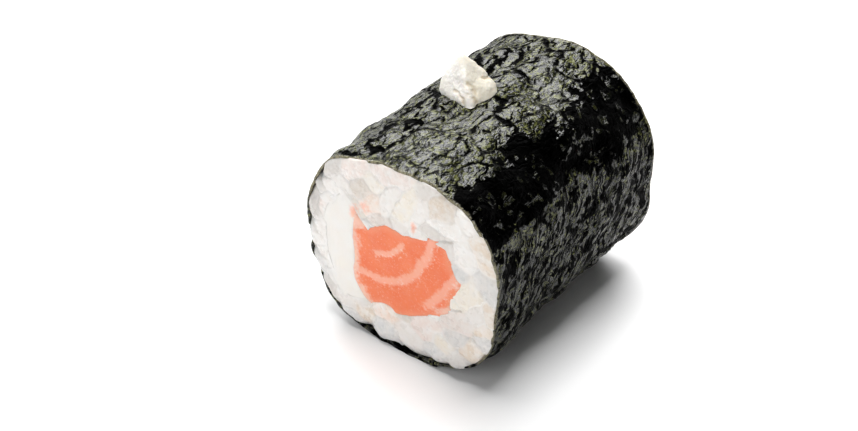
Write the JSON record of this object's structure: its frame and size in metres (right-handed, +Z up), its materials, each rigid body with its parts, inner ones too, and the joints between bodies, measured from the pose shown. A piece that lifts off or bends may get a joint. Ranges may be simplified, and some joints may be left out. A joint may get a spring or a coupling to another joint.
{
  "type": "philadelphia roll",
  "caption": "Thick slice of a sushi roll on its side: nori round pressed rice with a salmon and cream cheese filling, and a dab of cream cheese on top.",
  "frame": {"origin": "on the resting surface, under the middle of the roll", "axes": "+Z up; +Y along the roll's axis, from the cut face that shows in the picture to the far one; +X to the right as seen from the shown face"},
  "size_m": [0.0291, 0.0338, 0.0334],
  "materials": {
    "nori": "crumpled toasted seaweed sheet, black-green with a patchy damp gloss",
    "rice": "cooked short grains, translucent white and slightly glossy",
    "salmon": "raw orange-pink flesh with paler fat stripes, moist",
    "cream_cheese": "smooth soft cheese, off-white",
    "cream_dab": "soft cheese broken into small lobes, off-white"
  },
  "bodies": {
    "root": {"nori": "nori", "rice": "rice", "salmon": "salmon", "cream_cheese": "cream_cheese", "cream_dab": "cream_dab"}
  },
  "joints": []
}
